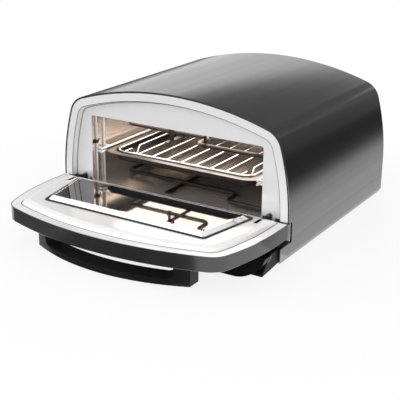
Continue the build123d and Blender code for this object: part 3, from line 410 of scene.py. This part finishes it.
# Details that are too fine for the solids
def finish_piece(obj, look, body):
    """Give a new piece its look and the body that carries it."""
    scene.collection.objects.link(obj)
    obj.data.materials.append(materials[look])
    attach(obj, body)


def add_beads(name, runs, radius, look, body):
    """Round beads along runs of points, as one piece."""
    curve = bpy.data.curves.new(name, "CURVE")
    curve.dimensions = "3D"
    curve.bevel_depth = radius
    curve.bevel_resolution = 2
    curve.use_fill_caps = True
    for run in runs:
        spline = curve.splines.new("POLY")
        spline.points.add(len(run) - 1)
        for point, place in zip(spline.points, run):
            point.co = (*place, 1)
    finish_piece(bpy.data.objects.new(name, curve), look, body)


def arc(x, z, radius, start, end, count=12):
    turns = [start + (end - start) * i / count for i in range(count + 1)]
    return [(x + radius * math.cos(t), z + radius * math.sin(t)) for t in turns]


def arch_points(inset, low):
    """The body's outline from the right foot to the left, moved in by inset."""
    side_x, crown_z = half_width - side_bow_r, body_top - crown_r
    to_side, to_crown = side_bow_r - shoulder_r, crown_r - shoulder_r
    gap = math.hypot(side_x, spring_z - crown_z)
    along = (to_crown**2 - to_side**2 + gap**2) / (2 * gap)
    across = math.sqrt(to_crown**2 - along**2)
    ux, uz = side_x / gap, (spring_z - crown_z) / gap
    cx, cz = along * ux + across * uz, crown_z + along * uz - across * ux
    side_turn = math.atan2(cz - spring_z, cx - side_x)
    crown_turn = math.atan2(cz - crown_z, cx)
    right = [(half_width - inset, low)]
    right += arc(side_x, spring_z, side_bow_r - inset, 0, side_turn)
    right += arc(cx, cz, shoulder_r - inset, side_turn, crown_turn)[1:]
    right += arc(0, crown_z, crown_r - inset, crown_turn, math.pi / 2)[1:]
    return right + [(-x, z) for x, z in reversed(right[:-1])]


# Painted shade: black beads along the frame's rim and in the corner behind its slope, where the step's shade
# falls, and one in the panel's groove for the shade inside it
rim_sink = 0.0003
add_beads("frame_shade_lines",
          [[(x, front_y + depth, z) for x, z in arch_points(inset, spring_z)]
           for inset, depth in ((rim_inset, rim_sink), (step_inset, recess))],
          0.00045, "gasket_black", "body")
# Painted shade: the black bead in the groove stands for the shade inside it
add_beads("panel_groove_shade", [[(x, hinge_line - high, door_z - groove_depth)
                                 for x, high in arch_points(groove_inset, groove_low)]],
          0.0007, "gasket_black", "door")


# Painted shade: two thin black lines on the recessed face under the open door, between the mouth, the hinge
# brackets and the edge, standing for the shade in the gap between door and frame
mouth_half, frame_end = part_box("cavity_liner")[1].x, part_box("front_frame")[1].x
bracket_in, bracket_out = (corner.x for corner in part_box("hinge_bracket_right"))
gap_line_r, gap_line_drops = 0.0011, (0.0014, 0.0034)  # drops below the open door's face
mouth_gap, bracket_gap, edge_gap = 0.0006, 0.0004, 0.0010
add_beads("door_gap_shade",
          [[(side * x, front_y + recess - 0.8 * gap_line_r, door_z - drop) for x in ends]
           for side in (-1, 1) for drop in gap_line_drops
           for ends in ((mouth_half + mouth_gap, bracket_in - bracket_gap),
                        (bracket_out + bracket_gap, frame_end - edge_gap))],
          gap_line_r, "gasket_black", "body")


def level(node, axis, pick):
    """The furthest reach of a node's mesh along an axis."""
    return pick(vertex.co.dot(axis) for vertex in nodes[node].data.vertices)


def add_dial_marks(node, body, joint):
    """A pointer on the knob's face, and a scale on the fascia over the knob's own range."""
    pointer_in, pointer_out = 0.004, 0.0105
    scale_in, scale_out, scale_long = 0.0170, 0.0188, 0.0200
    gap, steps = 0.0003, 10
    axis = Vector(joint["axis"]).normalized()
    centre = Vector(joint["pos_m"])
    right = Vector((1, 0, 0))
    up = axis.cross(right)
    foot = centre + axis * (level(node, axis, min) - gap - centre.dot(axis))
    top = centre + axis * (level(node, axis, max) - centre.dot(axis))
    add_beads(node + "_pointer", [[top + up * pointer_in, top + up * pointer_out]], 0.0005,
              "dial_paint", body)
    sweep = math.radians(joint["range_deg"][1] - joint["range_deg"][0])
    ticks = []
    for i in range(steps + 1):
        turn = sweep * i / steps
        out = up * math.cos(turn) + right * math.sin(turn)
        ticks.append([foot + out * scale_in,
                      foot + out * (scale_long if i % 5 == 0 else scale_out)])
    add_beads(node + "_scale", ticks, 0.0003, "dial_paint", "body")


for joint in frame["joints"]:
    if joint["name"] in ("heat_turn", "timer_turn"):
        dial = joint["name"].split("_")[0]
        add_dial_marks(dial + "_knob", joint["child"], joint)


def add_slot_fillet(side):
    """Round the corner between the slot's floor and its end, along the bowed bar."""
    reach, depth, sink = 0.009, 0.0215, 0.0003
    post, bow, bar = 0.022, 0.031, 0.022  # end post's width, the bar's bow and thickness
    slot_height, rise = 0.010, 0.005  # of the slot's floor in front, and from there to its back
    half = handle_high[0]
    bow_r = (half**2 + bow**2) / (2 * bow)
    centre_y = handle_low[1] + bow_r
    spread = math.asin((half - post) / bow_r)
    outward = Vector((side * math.sin(spread), -math.cos(spread), 0))
    along = Vector((-side * math.cos(spread), -math.sin(spread), 0))
    section = [(-sink, -sink), (reach, -sink)]
    section += [(reach - reach * math.sin(t), reach - reach * math.cos(t))
                for t in (math.radians(15 * i) for i in range(7))]
    section.append((-sink, reach))
    rings = []
    for back in (0, depth):
        base = Vector((0, centre_y, handle_low[2] + slot_height + rise * back / bar))
        base += outward * (bow_r - back)
        rings.append([base + along * t + Vector((0, 0, z)) for t, z in section])
    count = len(section)
    mesh = bpy.data.meshes.new("slot_fillet")
    faces = [tuple(range(count)), tuple(range(2 * count - 1, count - 1, -1))]
    faces += [(i, i + count, (i + 1) % count + count, (i + 1) % count) for i in range(count)]
    mesh.from_pydata(rings[0] + rings[1], [], faces)
    work = bmesh.new()
    work.from_mesh(mesh)
    bmesh.ops.recalc_face_normals(work, faces=work.faces)
    work.to_mesh(mesh)
    work.free()
    name = "slot_fillet_right" if side > 0 else "slot_fillet_left"
    finish_piece(bpy.data.objects.new(name, mesh), "handle_plastic", "door")


def add_liner_screw(name, x, y, z):
    """A low domed head on the liner's side wall, facing inwards."""
    inward = -math.copysign(1, x)
    mesh = bpy.data.meshes.new(name)
    work = bmesh.new()
    rows = []
    count = 12
    dome = ((0, 0.0032), (0.0005, 0.0032), (0.0011, 0.0024), (0.0013, 0.0010))
    for out, radius in dome:
        rows.append([work.verts.new((x + inward * out, y + radius * math.cos(t),
                                     z + radius * math.sin(t)))
                     for t in (math.tau * i / count for i in range(count))])
    for low, high in zip(rows, rows[1:]):
        for i in range(count):
            after = (i + 1) % count
            work.faces.new((low[i], low[after], high[after], high[i]))
    work.faces.new(rows[0])
    work.faces.new(rows[-1])
    bmesh.ops.recalc_face_normals(work, faces=work.faces)
    for face in work.faces:
        face.smooth = True
    work.to_mesh(mesh)
    work.free()
    finish_piece(bpy.data.objects.new(name, mesh), "screw_steel", "body")


screw_inset, screw_heights = 0.020, (("low", 0.075), ("high", 0.150))
for side in (-1, 1):
    add_slot_fillet(side)
    for place, z in screw_heights:
        name = "liner_screw_" + place + ("_right" if side > 0 else "_left")
        add_liner_screw(name, side * liner_half, front_y + screw_inset, z)
